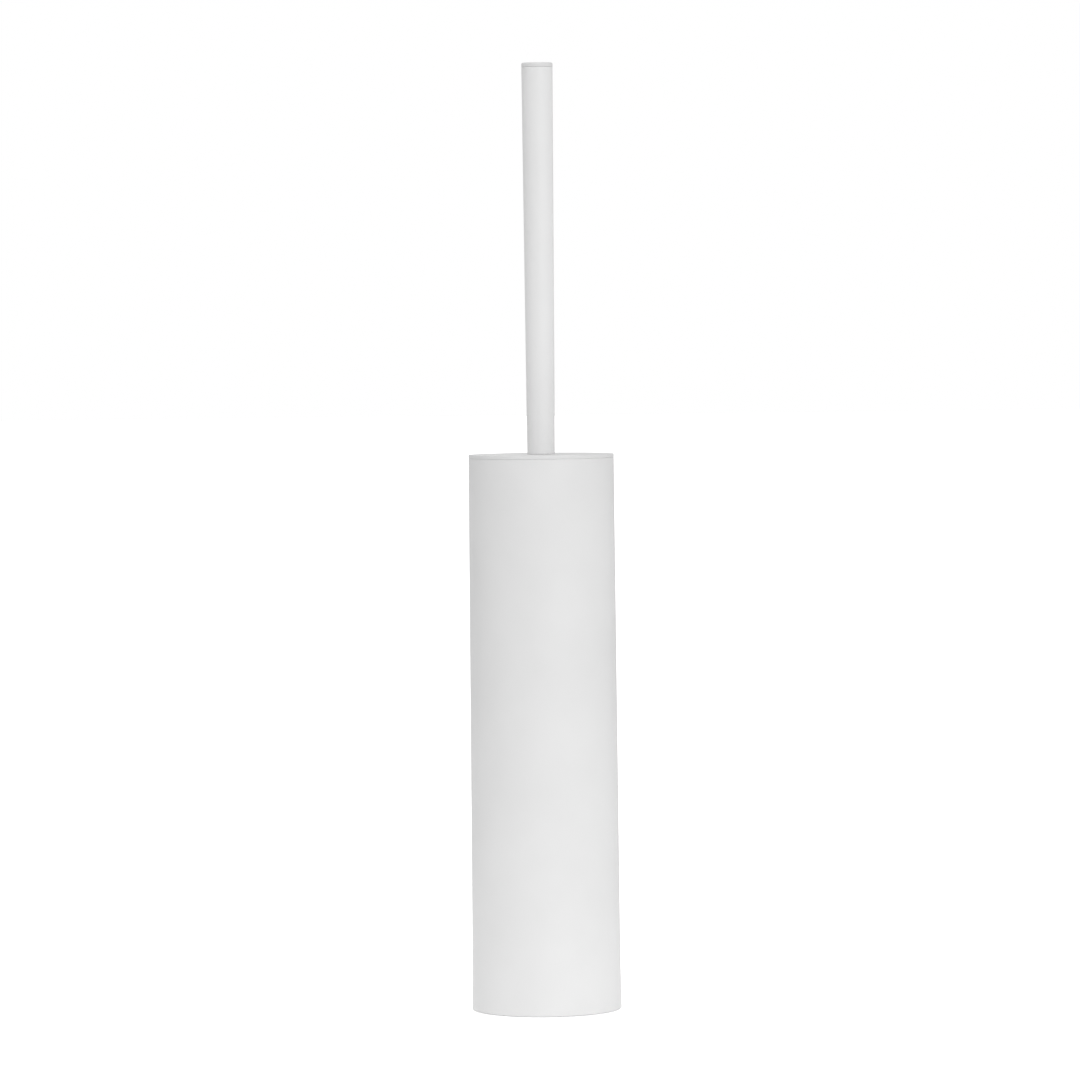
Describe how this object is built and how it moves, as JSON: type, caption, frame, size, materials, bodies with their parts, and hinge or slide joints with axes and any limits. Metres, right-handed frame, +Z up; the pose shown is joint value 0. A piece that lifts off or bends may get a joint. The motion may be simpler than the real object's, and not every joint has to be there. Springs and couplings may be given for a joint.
{
  "type": "toilet brush holder",
  "caption": "Slim round standing holder with weighted base, lift-out drip liner and flush lid; the lidded brush hangs inside on a slim round handle.",
  "frame": {"origin": "centre of the foot ring's underside, on the floor", "axes": "+Z up along the common axis of sleeve and handle; +X to the right and -Y to the front, though the outside is round"},
  "size_m": [0.082, 0.082, 0.517],
  "materials": {
    "white_shell": "moulded, fine matte texture, white",
    "base_plastic": "moulded, matte, white",
    "ballast_steel": "turned steel, zinc plated",
    "stainless": "stainless steel, fine turned finish",
    "rubber": "moulded rubber, matte black",
    "soft_ring": "moulded soft elastomer, white",
    "liner_plastic": "moulded polypropylene, satin, pale grey",
    "bush_plastic": "moulded, satin, white",
    "brass": "turned brass, knurled outside",
    "bristle": "nylon filaments, white"
  },
  "bodies": {
    "holder": {"outer_sleeve": "white_shell", "base_plate": "base_plastic", "ballast_disc": "ballast_steel", "base_screws": "stainless", "foot_ring": "rubber", "liner_seat_ring": "soft_ring"},
    "liner": {"liner_cup": "liner_plastic"},
    "lid": {"lid_disc": "white_shell", "lid_gasket": "soft_ring", "lid_locator": "liner_plastic", "lid_bush": "bush_plastic"},
    "brush": {"handle_tube": "white_shell", "handle_cap": "white_shell", "handle_insert": "brass", "stem": "stainless", "stem_collar": "stainless", "collar_screw": "stainless", "lock_nut": "stainless"},
    "washer": {"seal_washer": "rubber"},
    "head": {"brush_core": "bush_plastic", "core_insert": "brass", "side_bristles": "bristle", "tip_bristles": "bristle"}
  },
  "joints": [
    {"name": "liner_lift", "type": "slide", "parent": "holder", "child": "liner", "axis": [0, 0, 1], "range_m": [0, 0.3]},
    {"name": "brush_lift", "type": "slide", "parent": "liner", "child": "lid", "axis": [0, 0, 1], "range_m": [0, 0.29]},
    {"name": "handle_spin", "type": "hinge", "parent": "lid", "child": "brush", "pos_m": [0, 0, 0.3], "axis": [0, 0, 1], "continuous": true},
    {"name": "head_travel", "type": "slide", "parent": "brush", "child": "washer", "axis": [0, 0, -1], "range_m": [0, 0.01]},
    {"name": "head_turn", "type": "hinge", "parent": "washer", "child": "head", "pos_m": [0, 0, 0.09], "axis": [0, 0, -1], "range_deg": [0, 2881]}
  ],
  "couplings": [
    {"joint": "head_turn", "follows": "head_travel", "rad_per_m": 5026.5}
  ]
}
